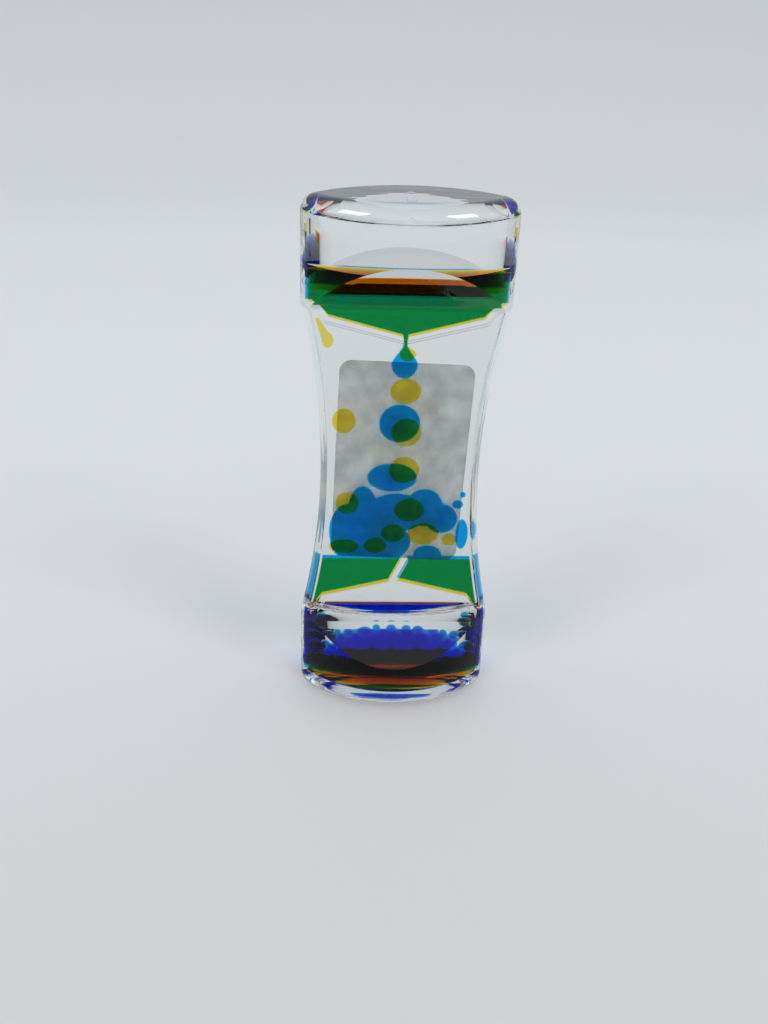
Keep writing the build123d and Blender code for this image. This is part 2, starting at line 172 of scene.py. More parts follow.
def half_oval(half_width, half_depth, end_round, flat, web, z, side):
    """The part of an oval in front of the web, or behind it where side is -1."""
    curve = oval_curve(half_width, half_depth, end_round, flat, web)
    x, y = curve[0]
    edge = curve[-1][0]
    points = line((-x, -y), (x, -y), FLAT_STEPS) + [(a, -b) for a, b in curve]
    points += line((edge, -web), (-edge, -web), FLAT_STEPS)[1:] + [(-a, -b) for a, b in curve[:0:-1]]
    return [Vector((a, side * b, z)) for a, b in points]


def slot_ring(middle, half_width, near, far, corner, z, side):
    """A rectangle with round corners that lies in a slit, with as many points as a half oval."""
    corner = min(corner, 2 * CORNER_SHARE * half_width, CORNER_SHARE * (far - near))
    x, front, back = half_width - corner, corner - far, -near - corner
    quarter = math.pi / 2
    points = line((-x, -far), (x, -far), FLAT_STEPS)
    points += arc((x, front), corner, -quarter, 0, CURVE_STEPS // 2)
    points += arc((x, back), corner, 0, quarter, CURVE_STEPS // 2)
    points += line((x, -near), (-x, -near), FLAT_STEPS)
    points += arc((-x, back), corner, quarter, 2 * quarter, CURVE_STEPS // 2)
    points += arc((-x, front), corner, 2 * quarter, 3 * quarter, CURVE_STEPS // 2)
    return [Vector((middle + x, side * y, z)) for x, y in points]


def turn_over(rings):
    """The same outlines, mirrored about the timer's middle."""
    return [[Vector((p.x, p.y, HEIGHT - p.z)) for p in ring] for ring in rings]


print("points on a full outline", len(oval(CUP_WIDTH / 2, CUP_DEPTH / 2, CUP_END_ROUND, CUP_DEPTH, 0)))

# %% Meshes and pieces from outlines
MERGE = 1e-7
CREASE = math.radians(24)


def clean(bm):
    """Merges doubles, fills open ends, points the faces outwards and marks the creases."""
    bmesh.ops.remove_doubles(bm, verts=bm.verts, dist=MERGE)
    bmesh.ops.holes_fill(bm, edges=[e for e in bm.edges if e.is_boundary], sides=0)
    bmesh.ops.recalc_face_normals(bm, faces=bm.faces)
    for face in bm.faces:
        face.smooth = True
    for edge in bm.edges:
        edge.smooth = not edge.is_manifold or edge.calc_face_angle(0) < CREASE


def piece(name, bm, *looks):
    """Makes an object of a bmesh, with its materials, at the origin."""
    mesh = bpy.data.meshes.new(name)
    bm.to_mesh(mesh)
    bm.free()
    for look in looks:
        mesh.materials.append(look)
    made = bpy.data.objects.new(name, mesh)
    bpy.context.scene.collection.objects.link(made)
    return made


def loft(outlines):
    """A closed skin over a stack of outlines with the same number of points."""
    bm = bmesh.new()
    around, rows = len(outlines[0]), len(outlines) - 1
    bmesh.ops.create_grid(bm, x_segments=around, y_segments=rows, size=0.5)
    for vert in bm.verts:
        column = round((vert.co.x + 0.5) * around) % around
        vert.co = outlines[round((vert.co.y + 0.5) * rows)][column]
    clean(bm)
    return bm


def stands_for(made, slot, body, *names):
    """The new piece replaces CAD nodes and rides on their body. The slot is not used."""
    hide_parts(*names)
    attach(made, body)
    return made


print("creases are marked from", round(math.degrees(CREASE)), "degrees")

# %% [markdown]
# ## Clear finishes
# Light passes through acrylic, then oil, then water, so each skin needs the index of its inside divided by
# the index of its outside. The shell is plain acrylic in air. A light oil bends less than acrylic, so the
# walls of the rooms show as fine lines, and water in oil bends a little less again. The dyes are in the
# volume, so thick water is darker: yellow turns orange and then red, and yellow over blue turns green. The
# pool in the foot is redder still than one loss for each colour gives, so it has a dye of its own. The
# moulded ends have shallow waves, which draw streaks in the top face, and a gloss coat that lifts their
# reflections. Lamps' shadow rays go straight through, because a path tracer finds light that glass focuses
# only by chance.

# %% Clear and dyed materials
AIR_TO_ACRYLIC = 1.49
ACRYLIC_TO_GLUE = 1.0
ACRYLIC_TO_STRIP = 0.995
ACRYLIC_TO_PLUG = 0.97
ACRYLIC_TO_OIL = 0.965
OIL_TO_WATER = 0.985
ACRYLIC_TINT = (0.93, 0.98, 0.98)
ACRYLIC_PASSES = 0.95
YELLOW_LOSS = (0.06, 0.26, 2.0)
DEEP_YELLOW_LOSS = (0.13, 0.4, 2.0)
BLUE_LOSS = (4.5, 0.68, 0.08)
DYE_HEADROOM = 1.05


def clear(name, index, tint=(1, 1, 1), shade=1.0):
    """Glass-like surface that lets lamps through. The shade is the share of a lamp's light that it passes."""
    look = bpy.data.materials.new(name)
    look.use_nodes = True
    tree = look.node_tree
    shader = tree.nodes["Principled BSDF"]
    shader.inputs["Base Color"].default_value = (*tint, 1)
    shader.inputs["Roughness"].default_value = 0
    shader.inputs["IOR"].default_value = index
    shader.inputs["Transmission Weight"].default_value = 1
    path = tree.nodes.new("ShaderNodeLightPath")
    through = tree.nodes.new("ShaderNodeBsdfTransparent")
    through.inputs["Color"].default_value = (shade, shade, shade, 1)
    mix = tree.nodes.new("ShaderNodeMixShader")
    tree.links.new(path.outputs["Is Shadow Ray"], mix.inputs["Fac"])
    tree.links.new(shader.outputs[0], mix.inputs[1])
    tree.links.new(through.outputs[0], mix.inputs[2])
    tree.links.new(mix.outputs[0], tree.nodes["Material Output"].inputs["Surface"])
    return look


def dyed(name, index, absorbs):
    """Clear water with a dye: absorbs is the loss per millimetre of red, green and blue."""
    look = clear(name, index)
    tree = look.node_tree
    dye = tree.nodes.new("ShaderNodeVolumeAbsorption")
    density = DYE_HEADROOM * max(absorbs) / MM
    dye.inputs["Density"].default_value = density
    dye.inputs["Color"].default_value = (*(1 - a / MM / density for a in absorbs), 1)
    tree.links.new(dye.outputs[0], tree.nodes["Material Output"].inputs["Volume"])
    return look


glue_line = clear("glue_line", ACRYLIC_TO_GLUE)
strip_acrylic = clear("strip_acrylic", ACRYLIC_TO_STRIP)
plug_acrylic = clear("plug_acrylic", ACRYLIC_TO_PLUG)
oil = clear("oil", ACRYLIC_TO_OIL)
yellow = dyed("yellow_water", OIL_TO_WATER, YELLOW_LOSS)
deep_yellow = dyed("deep_yellow_water", OIL_TO_WATER, DEEP_YELLOW_LOSS)
blue = dyed("blue_water", OIL_TO_WATER, BLUE_LOSS)
print("clear finishes", [m.name for m in (glue_line, strip_acrylic, plug_acrylic, oil)])
print("dyed finishes", [m.name for m in (yellow, deep_yellow, blue)])

# %% Waves and gloss of the flat ends
END_GLOSS_INDEX = 2.0
END_REACH = 3 * MM
WAVE_SCALE = (40, 260, 40)
WAVE_STRENGTH = 0.6
WAVE_HEIGHT = 0.5 * MM


def polished_ends(look):
    """Shallow moulding waves in both flat ends, stretched along the width, under a hard gloss."""
    tree = look.node_tree
    shader = tree.nodes["Principled BSDF"]
    shader.inputs["Coat IOR"].default_value = END_GLOSS_INDEX
    place = tree.nodes.new("ShaderNodeTexCoord")
    stretch = tree.nodes.new("ShaderNodeMapping")
    stretch.inputs["Scale"].default_value = WAVE_SCALE
    waves = tree.nodes.new("ShaderNodeTexNoise")
    waves.inputs["Scale"].default_value = 1
    waves.inputs["Detail"].default_value = 1
    split = tree.nodes.new("ShaderNodeSeparateXYZ")
    from_middle = tree.nodes.new("ShaderNodeMath")
    from_middle.operation = "SUBTRACT"
    from_middle.inputs[1].default_value = MIDDLE
    either_end = tree.nodes.new("ShaderNodeMath")
    either_end.operation = "ABSOLUTE"
    ends = tree.nodes.new("ShaderNodeMapRange")
    ends.inputs["From Min"].default_value = MIDDLE - END_REACH
    ends.inputs["From Max"].default_value = MIDDLE
    masked = tree.nodes.new("ShaderNodeMath")
    masked.operation = "MULTIPLY"
    bump = tree.nodes.new("ShaderNodeBump")
    bump.inputs["Strength"].default_value = WAVE_STRENGTH
    bump.inputs["Distance"].default_value = WAVE_HEIGHT
    tree.links.new(place.outputs["Object"], stretch.inputs["Vector"])
    tree.links.new(stretch.outputs["Vector"], waves.inputs["Vector"])
    tree.links.new(place.outputs["Object"], split.inputs[0])
    tree.links.new(split.outputs["Z"], from_middle.inputs[0])
    tree.links.new(from_middle.outputs[0], either_end.inputs[0])
    tree.links.new(either_end.outputs[0], ends.inputs["Value"])
    tree.links.new(waves.outputs["Fac"], masked.inputs[0])
    tree.links.new(ends.outputs["Result"], masked.inputs[1])
    tree.links.new(masked.outputs[0], bump.inputs["Height"])
    tree.links.new(bump.outputs["Normal"], shader.inputs["Normal"])
    tree.links.new(ends.outputs["Result"], shader.inputs["Coat Weight"])


acrylic = clear("acrylic", AIR_TO_ACRYLIC, ACRYLIC_TINT, ACRYLIC_PASSES)
polished_ends(acrylic)
print("shell finish", acrylic.name, "nodes", len(acrylic.node_tree.nodes))

# %% [markdown]
# ## The shell
# The outside is one loft from foot to foot, so its faces run on smoothly through the joints. It is then cut
# at the two joints into the lower cup, the panel and the upper cup. The cut faces get a finish that does
# nothing, because the glued joint has no air in it. They stand a glue film apart, because two such faces in
# the same place render black.

# %% Shell outline at each height
BEND_BLEND = 2.2 * MM
ROUND_STEPS = 12
FOOT_STEPS = 4
FLARE_STEPS = 26
BEND_STEPS = 12
PANEL_STEPS = 22


def shell_ring(z):
    """The outside at one height between the rounded edges."""
    low = min(z, HEIGHT - z)
    width = CUP_WIDTH / 2
    if low > JOINT_LOW:
        run = ((z - MIDDLE) / (JOINT_HIGH - MIDDLE)) ** 2
        width = WAIST_WIDTH / 2 + (CUP_WIDTH - WAIST_WIDTH) / 2 * run
    slope = FLARE * (BEND - low)
    flat = PANEL_DEPTH / 2 + max(slope, 0) + max(BEND_BLEND / 2 - abs(slope), 0) ** 2 / (2 * BEND_BLEND)
    return oval(width, CUP_DEPTH / 2, CUP_END_ROUND, flat, z)


def end_rings():
    """The rounded edge of the lower foot, from the table up."""
    rings = []
    for i in range(ROUND_STEPS + 1):
        turn = math.pi / 2 * i / ROUND_STEPS
        inset, z = EDGE_ROUND * (1 - math.sin(turn)), EDGE_ROUND * (1 - math.cos(turn))
        size = CUP_WIDTH / 2 - inset, CUP_DEPTH / 2 - inset, CUP_END_ROUND - inset
        rings.append(oval(*size, CUP_DEPTH, z))
    return rings


def steps(start, end, count):
    """Evenly spaced values after the start, up to and with the end."""
    return [start + (end - start) * (i + 1) / count for i in range(count)]


def easing_steps(start, end, count):
    """Values after the start that stand closest together near it."""
    return [start + (end - start) * share**2 for share in steps(0, 1, count)]


def shell_outlines():
    """Ovals of the whole outside, from the table to the top."""
    low = end_rings()
    high = turn_over(reversed(low))
    blend = BEND_BLEND / FLARE / 2
    levels = steps(EDGE_ROUND, FOOT_HEIGHT, FOOT_STEPS)
    levels += easing_steps(FOOT_HEIGHT, BEND - blend, FLARE_STEPS)
    levels += steps(BEND - blend, BEND + blend, BEND_STEPS)
    levels += steps(BEND + blend, MIDDLE, PANEL_STEPS)
    levels += [HEIGHT - z for z in reversed(levels[:-1])]
    return low + [shell_ring(z) for z in levels] + high


print("outlines from foot to foot", len(shell_outlines()))

# %% Cut the shell into cups and panel
GLUE = 0.02 * MM
END_BORDER = 0.25 * MM
QUAD = 4


def cut(bm, z, keep_above):
    """Cuts a closed shape at one height and closes the cut with a face of the second material."""
    geom = bm.verts[:] + bm.edges[:] + bm.faces[:]
    bmesh.ops.bisect_plane(
        bm, geom=geom, plane_co=(0, 0, z), plane_no=(0, 0, 1),
        clear_outer=not keep_above, clear_inner=keep_above
    )
    rim = [e for e in bm.edges if e.is_boundary]
    for face in bmesh.ops.holes_fill(bm, edges=rim, sides=0)["faces"]:
        face.material_index = 1
    bmesh.ops.recalc_face_normals(bm, faces=bm.faces)
    for edge in rim:
        edge.smooth = False


def flatten_ends(bm):
    """Gives each flat end a narrow border, so that the rounding's shading stops there."""
    ends = [f for f in bm.faces if len(f.verts) > QUAD]
    bmesh.ops.inset_individual(bm, faces=ends, thickness=END_BORDER)


SHELL_PARTS = {
    "bottom_cap": [(JOINT_LOW - GLUE / 2, False)],
    "waist_body": [(JOINT_LOW + GLUE / 2, True), (JOINT_HIGH - GLUE / 2, False)],
    "top_cap": [(JOINT_HIGH + GLUE / 2, True)],
}
for name, cuts in SHELL_PARTS.items():
    bm = loft(shell_outlines())
    flatten_ends(bm)
    for z, keep_above in cuts:
        cut(bm, z, keep_above)
    made = stands_for(piece(name + "_skin", bm, acrylic, glue_line), "clear_shell", "timer", name)
    print(made.name, len(made.data.polygons))

# %% [markdown]
# ## Rooms full of oil
# Each cup has a room on both sides of the web. The upper rooms narrow to the slits and end on the funnel
# strips, as a ledge, a shoulder and a shallow V. The lower rooms are the same, turned over. The oil fills
# each room, and the water then sits inside the oil, with a thin film of oil left round it.

# %% Sizes of funnels and rooms
STRIP = 1.6 * MM
LEDGE = 2.1 * MM
SHOULDER_RUN = 2 * MM
LEDGE_X = JOINT_ROOM - LEDGE
SHOULDER_X = LEDGE_X - SHOULDER_RUN
SHOULDER_DROP = 3.5 * MM
V_DROP = 4.9 * MM
FUNNEL_TIP = JOINT_HIGH - SHOULDER_DROP - V_DROP
ORIFICE = 0.9 * MM
FLOOR_ROUND = 0.9 * MM
OIL_GAP = 0.03 * MM
FILM = 0.1 * MM
print("funnel tip at", round(FUNNEL_TIP / MM, 1), "ledge at", round(LEDGE_X / MM, 1))

# %% Outlines of the funnels
FUNNEL_CORNER = 0.05 * MM
HOLE_RIM = 0.2 * MM
V_STEPS = 5
SHOULDER_STEPS = 4


def funnel_width(z):
    """Half width of the funnel at one height below the joint."""
    drop = JOINT_HIGH - z
    if drop < SHOULDER_DROP:
        return LEDGE_X + (SHOULDER_X - LEDGE_X) * drop / SHOULDER_DROP
    return max(SHOULDER_X * (1 - (drop - SHOULDER_DROP) / V_DROP), ORIFICE / 2)


def funnel_rings(inset, side):
    """The funnel from its hole up to the ledges."""
    levels = [FUNNEL_TIP - STRIP, FUNNEL_TIP + HOLE_RIM]
    levels += steps(FUNNEL_TIP, FUNNEL_TIP + V_DROP, V_STEPS)
    levels += steps(FUNNEL_TIP + V_DROP, JOINT_HIGH, SHOULDER_STEPS)
    near, far = WEB / 2 + inset, SLIT_OUTER - inset
    return [slot_ring(0, funnel_width(z) - inset, near, far, FUNNEL_CORNER, z + inset, side) for z in levels]


print("outlines of a funnel", len(funnel_rings(OIL_GAP, 1)))

# %% Rooms filled with oil
OVER_CREASE = 1 * MM
LEVEL_GAP = 0.05 * MM
SLOPE_STEPS = 24
CEILING_STEPS = 6


def room_ring(z, flat, tuck, inset, side):
    """A cup's room at one height. The tuck draws in its outer wall alone."""
    wall = CUP_WALL + inset + tuck
    size = CUP_WIDTH / 2 - wall, CUP_DEPTH / 2 - wall, CUP_END_ROUND - wall
    return half_oval(*size, flat, WEB / 2 + inset, z, side)


def room_depth(z, inset):
    """How far the sloped wall lets the room reach at one height above its ledge."""
    return ROOM_LEDGE - inset + FLARE * (z - HEIGHT + ROOM_MOUTH - inset)


def room_rings(inset, side, top=None):
    """A cup's room from the joint over its ledge to a level, or to its rounded ceiling."""
    ceiling = HEIGHT - END_WALL - inset
    highest = ceiling - FLOOR_ROUND if top is None else top
    mouth = HEIGHT - ROOM_MOUTH + inset
    crease = mouth + (CUP_DEPTH / 2 - CUP_WALL - ROOM_LEDGE) / FLARE
    rings = [room_ring(z, SLIT_OUTER - inset, 0, inset, side) for z in (JOINT_HIGH + inset, mouth)]
    levels = [mouth] + easing_steps(crease, mouth, SLOPE_STEPS)[-2::-1] + [crease, crease + OVER_CREASE]
    levels = [z for z in levels if z < highest - LEVEL_GAP] + [highest]
    rings += [room_ring(z, room_depth(z, inset), 0, inset, side) for z in levels]
    if top is None:
        for turn in steps(0, math.pi / 2, CEILING_STEPS):
            z = ceiling - FLOOR_ROUND * (1 - math.sin(turn))
            rings.append(room_ring(z, CUP_DEPTH, FLOOR_ROUND * (1 - math.cos(turn)), inset, side))
    return rings


SIDES = {"front": 1, "rear": -1}
for word, side in SIDES.items():
    rings = funnel_rings(OIL_GAP, side) + room_rings(OIL_GAP, side)
    for end, outlines in (("upper", rings), ("lower", turn_over(rings))):
        fill = piece(f"{end}_{word}_oil_fill", loft(outlines), oil)
        stands_for(fill, "clear_oil", "timer", f"{end}_{word}_oil")
        print(fill.name, len(fill.data.polygons))

# %% [markdown]
# ## Oil in the slits
# The middle of each slit is a flat hourglass between the two strips. Its outline is drawn once as a face and
# pulled through the slit's depth.

# %% Flat bodies with a rounded rim
RIM_STEPS = 6
FLUSH = 1e-9


def soften_rim(bm, edges, rim):
    """Rounds the rim of a flat body."""
    bmesh.ops.bevel(
        bm, geom=edges, offset=rim, affect="EDGES", segments=RIM_STEPS, profile=0.5, material=-1,
        clamp_overlap=True
    )


def flat_body(outline, side, inset, rim):
    """A closed outline in the slit's plane, pulled through its depth, with a rounded rim."""
    bm = bmesh.new()
    face = bm.faces.new([bm.verts.new((x, -side * (WEB / 2 + inset), z)) for x, z in outline])
    grown = bmesh.ops.extrude_face_region(bm, geom=[face])
    moved = [g for g in grown["geom"] if isinstance(g, bmesh.types.BMVert)]
    bmesh.ops.translate(bm, verts=moved, vec=(0, -side * (SLIT - 2 * inset), 0))
    if rim:
        soften_rim(bm, [e for e in bm.edges if abs(e.verts[0].co.y - e.verts[1].co.y) < FLUSH], rim)
    clean(bm)
    return bm


print("depth of a flat body in mm", round((SLIT - 2 * OIL_GAP) / MM, 2))

# %% Slits filled with oil
WALL_STEPS = 40
UNDER_SHOULDER = 0.5
UNDER_LEDGE = 0.7
STRIP_UNDER = [
    (SHOULDER_X + UNDER_SHOULDER * STRIP, JOINT_HIGH - SHOULDER_DROP - STRIP),
    (LEDGE_X + UNDER_LEDGE * STRIP, JOINT_HIGH - STRIP),
]


def wall_at(z):
    """The slit's clear half width at one height."""
    rise = JOINT_HIGH - MIDDLE
    flare = JOINT_ROOM - WAIST_ROOM
    bend = (rise**2 + flare**2) / (2 * flare)
    return WAIST_ROOM + bend - math.sqrt(bend**2 - (z - MIDDLE) ** 2)


def slit_outline(inset):
    """The slit between the two strips."""
    top = [(0, FUNNEL_TIP - STRIP - inset)] + [(x, z - inset) for x, z in STRIP_UNDER]
    eave = JOINT_HIGH - STRIP - inset
    levels = [eave] + steps(eave, HEIGHT - eave, WALL_STEPS)
    right = top + [(wall_at(z) - inset, z) for z in levels]
    right += [(x, HEIGHT - z) for x, z in reversed(top[1:])]
    left = [(-x, z) for x, z in reversed(right)]
    return right + [(0, HEIGHT - top[0][1])] + left[:-1]


for word, side in SIDES.items():
    fill = piece(f"{word}_middle_oil_fill", flat_body(slit_outline(OIL_GAP), side, OIL_GAP, 0), oil)
    stands_for(fill, "clear_oil", "timer", f"{word}_middle_oil")
    print(fill.name, len(fill.data.polygons))

# %% [markdown]
# ## Water in the upper cups
# The water left in each upper cup stands on the funnel, and a drop hangs from its hole: a narrow neck that
# swells to a round bottom, squeezed flat by the slit. Cup, funnel and hanging drop are one stack of outlines.

# %% Water left in the upper cups
WATER = {"front": (yellow, "yellow_water"), "rear": (blue, "blue_water")}
HANGING = {"front": (0.58, 3.8, 2.15, 2.1), "rear": (0.07, 7.1, 3.22, 3.9)}
NECK = 0.45 * MM
NECK_SWELL = 0.75
NECK_STEPS = 12
DROP_CORNER = 0.8 * MM
DROP_SHARES = (0.995, 0.97, 0.92, 0.84, 0.72, 0.58, 0.42, 0.22, 0)


def hanging_rings(middle, below, half_width, half_height, side):
    """A hanging drop from its bottom up: its middle, its depth below the tip and its half sizes, in mm."""
    near, far = WEB / 2 + FILM, SLIT_OUTER - FILM
    centre = FUNNEL_TIP - below * MM
    start = FUNNEL_TIP - STRIP
    rings = []
    for share in DROP_SHARES:
        round_off = math.sqrt(1 - share**2)
        tuck = (far - near) / 2 * (1 - math.sqrt(1 - share**6))
        width = half_width * MM * round_off
        z = centre - share * half_height * MM
        rings.append(slot_ring(middle * MM, width, near + tuck, far - tuck, DROP_CORNER, z, side))
    for share in steps(0, 1, NECK_STEPS):
        swell = 1 - (3 * share**2 - 2 * share**3) ** NECK_SWELL
        width = NECK + (half_width * MM - NECK) * swell
        z = centre + (start - centre) * share
        rings.append(slot_ring(middle * MM * (1 - share), width, near, far, DROP_CORNER, z, side))
    return rings


for word, side in SIDES.items():
    dye, slot = WATER[word]
    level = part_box(f"upper_{word}_oil")[0].z
    rings = hanging_rings(*HANGING[word], side) + funnel_rings(FILM, side)[1:]
    rings += room_rings(FILM, side, top=level)
    body = piece(f"upper_{word}_water_body", loft(rings), dye)
    stands_for(body, slot, "timer", f"upper_{word}_water")
    print(body.name, "level", round(level / MM, 1))

# %% [markdown]
# ## Water in the lower cups
# The water that has come through lies in the lower cup. New drops don't join it at once: they rest on it
# side by side like froth, and more of them hang as a broken trickle at both ends, where the water runs off
# the roof. Froth and trickles are drawn at random, from a fixed seed, so every run gives the same drops. The
# ranges of these draws are in millimetres.

# %% Froth on the pools
random.seed(7)
FROTH = {"front": (26, 0.7), "rear": (60, 1.2)}
FROTH_TRIES = 4000
FROTH_RADIUS = (1.0, 2.4)
FROTH_HEIGHT = (0.7, 1)
FROTH_REACH = 20.5
FULL_HEIGHT_RADIUS = 1.6 * MM
ROOM_BULGE = 32 * MM
ROOM_BULGE_BACK = 21 * MM
FROTH_OFF_WALL = 0.3 * MM
FROTH_OFF_WEB = 0.2 * MM
FROTH_APART = 0.1 * MM
FROTH_OVER_POOL = 0.06 * MM
DROPLET_STEPS = 3


def droplet(bm, place, size):
    """A small drop of water, squashed to its size."""
    matrix = Matrix.Translation(place) @ Matrix.Diagonal((*size, 1))
    bmesh.ops.create_icosphere(bm, subdivisions=DROPLET_STEPS, radius=1, matrix=matrix)


def froth(bm, level, count, tall, side):
    """A count of flat droplets side by side on the pool, about as tall as given. Returns how many fit."""
    placed = []
    tries = 0
    while len(placed) < count and tries < FROTH_TRIES:
        tries += 1
        radius = random.uniform(*FROTH_RADIUS) * MM
        x = random.uniform(-FROTH_REACH, FROTH_REACH) * MM
        bulge = math.sqrt(ROOM_BULGE**2 - x**2) - ROOM_BULGE_BACK
        depth = min(bulge, room_depth(HEIGHT - level - tall * MM, FILM)) - FROTH_OFF_WALL
        at_web = WEB / 2 + radius
        y = random.uniform(at_web + FROTH_OFF_WEB, max(depth - radius, at_web + FROTH_OFF_WALL))
        crowded = any(math.dist((x, y), (a, b)) < radius + r + FROTH_APART for a, b, r in placed)
        if y + radius > depth or crowded:
            continue
        placed.append((x, y, radius))
        height = random.uniform(*FROTH_HEIGHT) * tall * MM * min(1, radius / FULL_HEIGHT_RADIUS)
        droplet(bm, (x, -side * y, level + height + FROTH_OVER_POOL), (radius, radius, height))
    return len(placed)


print("froth wanted", {word: count for word, (count, _) in FROTH.items()})

# %% Trickles and pools
TRICKLE_FOOT = 1.6 * MM
TRICKLE_TOP = 2.5 * MM
TRICKLE_NARROWS = 3 * MM
TRICKLE_TALL = (0.9, 1.5)
ROOM_DROP_DEEP = (0.9, 1.3)
ROOM_DROP_WIDE = (1.4, 2.1)
SLIT_DROP_DEEP = 0.6 * MM
SLIT_DROP_WIDE = 1.2 * MM
TRICKLE_X = 20.2 * MM
TRICKLE_SWAY = 0.8
TRICKLE_OFF_WEB = 0.12 * MM
CLOSEST = 0.08
SPREAD = {"front": 9, "rear": 0.2}


def trickle(bm, level, side, spread):
    """Broken strings of drops at both ends, wider in the room than in the slit, with gaps up to spread."""
    for end in (-1, 1):
        z = level + TRICKLE_FOOT
        while z < JOINT_LOW - TRICKLE_TOP:
            in_room = z < ROOM_MOUTH - TRICKLE_NARROWS
            tall = random.uniform(*TRICKLE_TALL) * MM
            deep = random.uniform(*ROOM_DROP_DEEP) * MM if in_room else SLIT_DROP_DEEP
            wide = random.uniform(*ROOM_DROP_WIDE) * MM if in_room else SLIT_DROP_WIDE
            x = end * (TRICKLE_X - random.uniform(0, TRICKLE_SWAY) * MM)
            droplet(bm, (x, -side * (WEB / 2 + deep + TRICKLE_OFF_WEB), z + tall), (wide, deep, tall))
            z += 2 * tall + random.uniform(CLOSEST, spread) * MM


for word, side in SIDES.items():
    dye, slot = WATER[word]
    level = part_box(f"lower_{word}_oil")[0].z
    count, tall = FROTH[word]
    pool = [ring for ring in turn_over(room_rings(FILM, side)) if ring[0].z < level - LEVEL_GAP]
    top = turn_over([room_ring(HEIGHT - level, room_depth(HEIGHT - level, FILM), 0, FILM, side)])
    bm = loft(top + pool)
    froth_count = froth(bm, level, count, tall, side)
    trickle(bm, level, side, SPREAD[word])
    for face in bm.faces:
        face.smooth = True
    body = piece(f"lower_{word}_water_body", bm, deep_yellow if word == "front" else dye)
    stands_for(body, slot, "timer", f"lower_{word}_water")
    print(body.name, "froth", froth_count, "faces", len(body.data.polygons))

# %% [markdown]
# ## Drops
# Drops are squeezed flat between the faces of the slit: coins with a rounded rim. Their places and sizes come
# from the CAD nodes' boxes, so a falling drop rides on its own body.

# %% Coins for every drop
COIN_STEPS = 48
COIN_RIM = 0.5 * MM
RIM_SHARE = 0.4
bodies = frame["record"]["behaviour"]["bodies"]
body_of = {node: body for body, members in bodies.items() for node in members}
drop_names = sorted(n for n in nodes if "drop" in n)
for name in drop_names:
    low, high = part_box(name)
    word = name.split("_")[0]
    middle, half = (low + high) / 2, (high - low) / 2
    turns = [2 * math.pi * i / COIN_STEPS for i in range(COIN_STEPS)]
    outline = [(middle.x + half.x * math.cos(a), middle.z + half.z * math.sin(a)) for a in turns]
    coin = flat_body(outline, SIDES[word], FILM, min(COIN_RIM, RIM_SHARE * half.x, RIM_SHARE * half.z))
    dye, slot = WATER[word]
    stands_for(piece(name + "_coin", coin, dye), slot, body_of[name], name)
print("coins", len(drop_names))

# %% [markdown]
# ## Heap, roof layer and run
# The blue heap, the yellow layer on the lower roof and the yellow run on the left wall have odd outlines that
# the CAD solids already give. A copy of each solid is merged, its flat faces are joined again, and its rim is
# rounded as water's is. The solid itself stays as it is.

# %% Rounded copies of the solids
POOLED = ("rear_heap", "front_roof_water", "front_wall_run")
POOLED_RIM = 0.3 * MM
RIM_ANGLE = math.radians(70)
CAD_MERGE = 2e-6
CAD_FLUSH = 1e-6
FLAT_ANGLE = math.radians(0.5)


def merged_copy(name):
    """The CAD solid as one closed mesh with its flat faces whole."""
    bm = bmesh.new()
    bm.from_mesh(nodes[name].data)
    bmesh.ops.remove_doubles(bm, verts=bm.verts, dist=CAD_MERGE)
    bmesh.ops.dissolve_limit(bm, angle_limit=FLAT_ANGLE, verts=bm.verts, edges=bm.edges)
    return bm


for name in POOLED:
    bm = merged_copy(name)
    rims = [e for e in bm.edges if e.is_manifold and e.calc_face_angle(0) > RIM_ANGLE]
    rims = [e for e in rims if abs(e.verts[0].co.y - e.verts[1].co.y) < CAD_FLUSH]
    soften_rim(bm, rims, POOLED_RIM)
    clean(bm)
    dye, slot = WATER[name.split("_")[0]]
    made = stands_for(piece(name + "_body", bm, dye), slot, "timer", name)
    print(made.name, len(made.data.polygons))

# %% [markdown]
# ## Funnel strips and fill plugs
# Both are acrylic set into acrylic, so they show only as faint edges. The strips keep their CAD shape. The
# plugs are turned pins with rounded ends, glued into the upper end.

# %% Strips and plugs
PLUG_SHORTER = 0.1 * MM
PLUG_ROUND = 0.35 * MM
PLUG_STEPS = 32
for name in sorted(n for n in nodes if n.endswith("funnel")):
    bm = merged_copy(name)
    clean(bm)
    made = stands_for(piece(name + "_strip", bm, strip_acrylic), "clear_strip", "timer", name)
    print(made.name, len(made.data.polygons))
for name in ("front_fill_plug", "rear_fill_plug"):
    low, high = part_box(name)
    radius = (high.x - low.x) / 2
    bm = bmesh.new()
    bmesh.ops.create_cone(
        bm, cap_ends=True, segments=PLUG_STEPS, radius1=radius, radius2=radius,
        depth=high.z - low.z - PLUG_SHORTER, matrix=Matrix.Translation((low + high) / 2)
    )
    ends = [e for e in bm.edges if abs(e.verts[0].co.z - e.verts[1].co.z) < FLUSH]
    soften_rim(bm, ends, PLUG_ROUND)
    clean(bm)
    made = stands_for(piece(name + "_pin", bm, plug_acrylic), "fill_plug", "timer", name)
    print(made.name, "radius in mm", round(radius / MM, 2))

# %% [markdown]
# ## Label
# A blank paper label is stuck to the back of the panel. It is thin and blotchy, so its tone changes over the
# sheet and it covers what is behind it only in part.

# %% Blotchy paper label
BLOTCH_SCALE = 190
BLOTCH_DETAIL = 7
BLOTCH_TONES = {0.3: (0.32, 0.335, 0.34), 0.7: (0.66, 0.68, 0.68)}
LABEL_COVER = 0.55
LABEL_ROUGHNESS = 0.6


